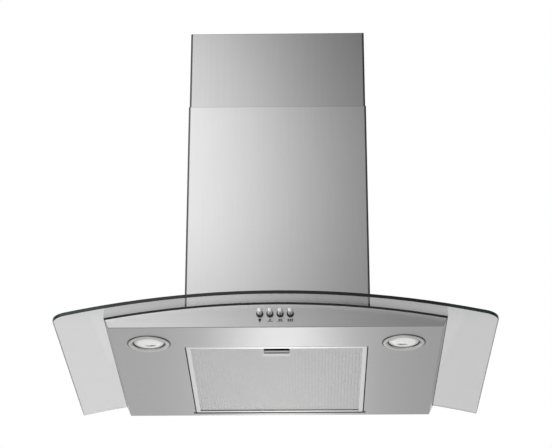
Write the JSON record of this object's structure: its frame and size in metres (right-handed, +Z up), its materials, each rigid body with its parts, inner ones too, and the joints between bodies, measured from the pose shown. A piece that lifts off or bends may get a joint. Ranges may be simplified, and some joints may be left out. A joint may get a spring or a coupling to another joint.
{
  "type": "wall mount range hood",
  "caption": "Wall mount range hood: shallow steel canopy under a bent glass plate, push buttons, lamps, drop-down mesh filter, blower with dampers and a telescoping duct cover.",
  "frame": {"origin": "on the wall plane, at the centre of the four wall screw holes in the back plate", "axes": "+X to the right as seen from the front, +Y into the wall, +Z up; the front of the hood faces -Y"},
  "size_m": [0.749, 0.5, 0.6782],
  "materials": {
    "stainless": "brushed stainless sheet, fine horizontal grain",
    "galvanised_sheet": "galvanised sheet steel with a faint spangle",
    "screw_steel": "zinc plated steel",
    "canopy_glass": "clear tempered glass, polished edge with a green tint",
    "black_rubber": "soft black rubber strip",
    "clear_nylon": "natural nylon",
    "chrome": "bright chrome plate",
    "filter_aluminium": "satin aluminium",
    "filter_mesh": "folded expanded aluminium mesh",
    "frosted_lens": "frosted glass",
    "white_board": "white lacquered circuit board",
    "black_plastic": "moulded black plastic",
    "grey_plastic": "moulded grey plastic",
    "white_plastic": "moulded white plastic",
    "motor_core": "stacked electrical steel",
    "wire_sheath": "black cable sheath"
  },
  "bodies": {
    "canopy": {"back_plate": "galvanised_sheet", "blower_box": "galvanised_sheet", "box_screws": "screw_steel", "button_bezels": "black_plastic", "button_springs": "screw_steel", "cable_gland": "black_plastic", "canopy_body": "stainless", "capacitor": "white_plastic", "capacitor_strap": "galvanised_sheet", "cover_foot_brackets": "galvanised_sheet", "cover_screws": "screw_steel", "damper_pins": "screw_steel", "duct_collar": "black_plastic", "glass_canopy": "canopy_glass", "glass_gasket": "black_rubber", "glass_screws": "screw_steel", "glass_washers": "clear_nylon", "inlet_rings": "grey_plastic", "lamp_clips": "galvanised_sheet", "lamp_leads": "wire_sheath", "led_driver": "white_plastic", "left_lamp_board": "white_board", "left_lamp_cup": "filter_aluminium", "left_lamp_lens": "frosted_lens", "left_lamp_trim": "chrome", "loom_clips": "galvanised_sheet", "lower_duct_cover": "stainless", "motor_bearings": "screw_steel", "motor_bracket": "galvanised_sheet", "motor_housing": "galvanised_sheet", "motor_stator": "motor_core", "right_lamp_board": "white_board", "right_lamp_cup": "filter_aluminium", "right_lamp_lens": "frosted_lens", "right_lamp_trim": "chrome", "scroll_housing": "grey_plastic", "switch_block": "black_plastic", "terminal_box": "black_plastic", "terminal_cover": "black_plastic", "terminal_strip": "white_plastic", "top_plate": "galvanised_sheet", "wiring_loom": "wire_sheath"},
    "impeller_wheel": {"impeller": "grey_plastic", "motor_shaft": "screw_steel", "motor_rotor": "motor_core"},
    "left_damper": {"damper_flap_left": "black_plastic"},
    "right_damper": {"damper_flap_right": "black_plastic"},
    "filter_cassette": {"filter_frame": "filter_aluminium", "filter_mesh": "filter_mesh", "latch_case": "black_plastic"},
    "filter_latch": {"latch_handle": "filter_aluminium", "latch_spring": "screw_steel"},
    "upper_cover": {"upper_duct_cover": "stainless", "ceiling_bracket": "galvanised_sheet", "ceiling_screws": "screw_steel"},
    "light_switch": {"light_button": "chrome"},
    "low_speed_switch": {"low_speed_button": "chrome"},
    "medium_speed_switch": {"medium_speed_button": "chrome"},
    "high_speed_switch": {"high_speed_button": "chrome"}
  },
  "joints": [
    {"name": "impeller_spin", "type": "hinge", "parent": "canopy", "child": "impeller_wheel", "pos_m": [0, -0.1035, -0.024], "axis": [1, 0, 0], "continuous": true},
    {"name": "left_damper_swing", "type": "hinge", "parent": "canopy", "child": "left_damper", "pos_m": [-0.0036, -0.15, 0.1261], "axis": [0, 1, 0], "range_deg": [0, 80]},
    {"name": "right_damper_swing", "type": "hinge", "parent": "canopy", "child": "right_damper", "pos_m": [0.0036, -0.15, 0.1261], "axis": [0, -1, 0], "range_deg": [0, 80]},
    {"name": "filter_tilt", "type": "hinge", "parent": "canopy", "child": "filter_cassette", "pos_m": [0, -0.0185, -0.183], "axis": [1, 0, 0], "range_deg": [0, 40]},
    {"name": "latch_pull", "type": "slide", "parent": "filter_cassette", "child": "filter_latch", "axis": [0, 1, 0], "range_m": [0, 0.005], "stiffness_N_per_m": 400, "springref_m": -0.002, "deforming": ["latch_spring"]},
    {"name": "upper_cover_slide", "type": "slide", "parent": "canopy", "child": "upper_cover", "axis": [0, 0, 1], "range_m": [-0.12, 0.2]},
    {"name": "light_press", "type": "slide", "parent": "canopy", "child": "light_switch", "axis": [0, 1, 0], "range_m": [0, 0.003], "stiffness_N_per_m": 300, "springref_m": -0.001, "deforming": ["button_springs"]},
    {"name": "low_speed_press", "type": "slide", "parent": "canopy", "child": "low_speed_switch", "axis": [0, 1, 0], "range_m": [0, 0.003], "stiffness_N_per_m": 300, "springref_m": -0.001},
    {"name": "medium_speed_press", "type": "slide", "parent": "canopy", "child": "medium_speed_switch", "axis": [0, 1, 0], "range_m": [0, 0.003], "stiffness_N_per_m": 300, "springref_m": -0.001},
    {"name": "high_speed_press", "type": "slide", "parent": "canopy", "child": "high_speed_switch", "axis": [0, 1, 0], "range_m": [0, 0.003], "stiffness_N_per_m": 300, "springref_m": -0.001}
  ]
}
